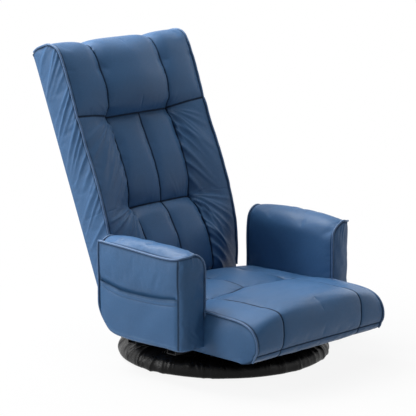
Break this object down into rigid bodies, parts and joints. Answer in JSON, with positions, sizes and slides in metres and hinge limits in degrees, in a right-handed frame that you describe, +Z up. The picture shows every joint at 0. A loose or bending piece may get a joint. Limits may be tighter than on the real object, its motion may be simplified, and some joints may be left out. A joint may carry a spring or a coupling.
{
  "type": "swivel gaming floor chair",
  "caption": "Padded floor chair with side-pocket arms and a ratchet-hinged reclining back, on a low round base that turns on a ball bearing.",
  "frame": {"origin": "on the swivel axis, on the floor face of the base", "axes": "+Z up, -Y towards the front of the seat, +X towards the viewer's right as the chair is seen from the front"},
  "size_m": [0.63, 0.8293, 0.8027],
  "materials": {
    "blue_leatherette": "satin",
    "black_cover": "satin",
    "black_lining": "matte",
    "felt": "matte",
    "foam": "matte",
    "webbing": "matte",
    "plywood": "matte",
    "black_steel": "satin",
    "plated_steel": "satin",
    "bright_steel": "polished",
    "cage_plastic": "satin"
  },
  "bodies": {
    "base": {"floor_felt": "felt", "base_board": "plywood", "base_padding": "foam", "base_cover": "black_cover", "pedestal": "plywood", "pedestal_screws": "bright_steel", "lower_race_plate": "plated_steel", "race_plate_screws": "bright_steel", "swivel_pin": "bright_steel"},
    "cage": {"ball_cage": "cage_plastic", "bearing_balls": "bright_steel"},
    "seat": {"upper_race_plate": "plated_steel", "seat_bar_front": "black_steel", "seat_bar_rear": "black_steel", "bar_bolts": "bright_steel", "seat_tube_left": "black_steel", "seat_tube_right": "black_steel", "seat_tube_front": "black_steel", "seat_tube_rear": "black_steel", "seat_webbing": "webbing", "underside_cloth": "black_lining", "seat_cushion": "blue_leatherette", "arm_upright_left": "black_steel", "arm_upright_right": "black_steel", "arm_board_left": "plywood", "arm_board_right": "plywood", "arm_pad_left": "blue_leatherette", "arm_pad_right": "blue_leatherette", "arm_pocket_left": "blue_leatherette", "arm_pocket_right": "blue_leatherette", "arm_bolts": "bright_steel", "hinge_seat_plate_left": "plated_steel", "hinge_seat_plate_right": "plated_steel", "hinge_pin_left": "bright_steel", "hinge_pin_right": "bright_steel", "pawl_spring_left": "bright_steel", "pawl_spring_right": "bright_steel"},
    "pawl_left": {"pawl_left": "plated_steel"},
    "pawl_right": {"pawl_right": "plated_steel"},
    "back": {"hinge_back_plate_left": "plated_steel", "hinge_back_plate_right": "plated_steel", "ratchet_wheel_left": "plated_steel", "ratchet_wheel_right": "plated_steel", "back_tube_left": "black_steel", "back_tube_right": "black_steel", "back_tube_top": "black_steel", "back_bar_lower": "black_steel", "back_webbing": "webbing", "back_cushion": "blue_leatherette", "back_rear_panel": "blue_leatherette"}
  },
  "joints": [
    {"name": "seat_swivel", "type": "hinge", "parent": "base", "child": "seat", "pos_m": [0, 0, 0.0546], "axis": [0, 0, 1], "continuous": true},
    {"name": "cage_turn", "type": "hinge", "parent": "base", "child": "cage", "pos_m": [0, 0, 0.0546], "axis": [0, 0, 1], "continuous": true},
    {"name": "back_recline", "type": "hinge", "parent": "seat", "child": "back", "pos_m": [0, 0.19, 0.104], "axis": [-1, 0, 0], "range_deg": [0, 70]},
    {"name": "pawl_left_swing", "type": "hinge", "parent": "seat", "child": "pawl_left", "pos_m": [-0.1965, 0.207, 0.07456], "axis": [-1, 0, 0], "range_deg": [0, 4]},
    {"name": "pawl_right_swing", "type": "hinge", "parent": "seat", "child": "pawl_right", "pos_m": [0.1965, 0.207, 0.07456], "axis": [-1, 0, 0], "range_deg": [0, 4]}
  ],
  "couplings": [
    {"joint": "cage_turn", "follows": "seat_swivel", "ratio": 0.5}
  ]
}
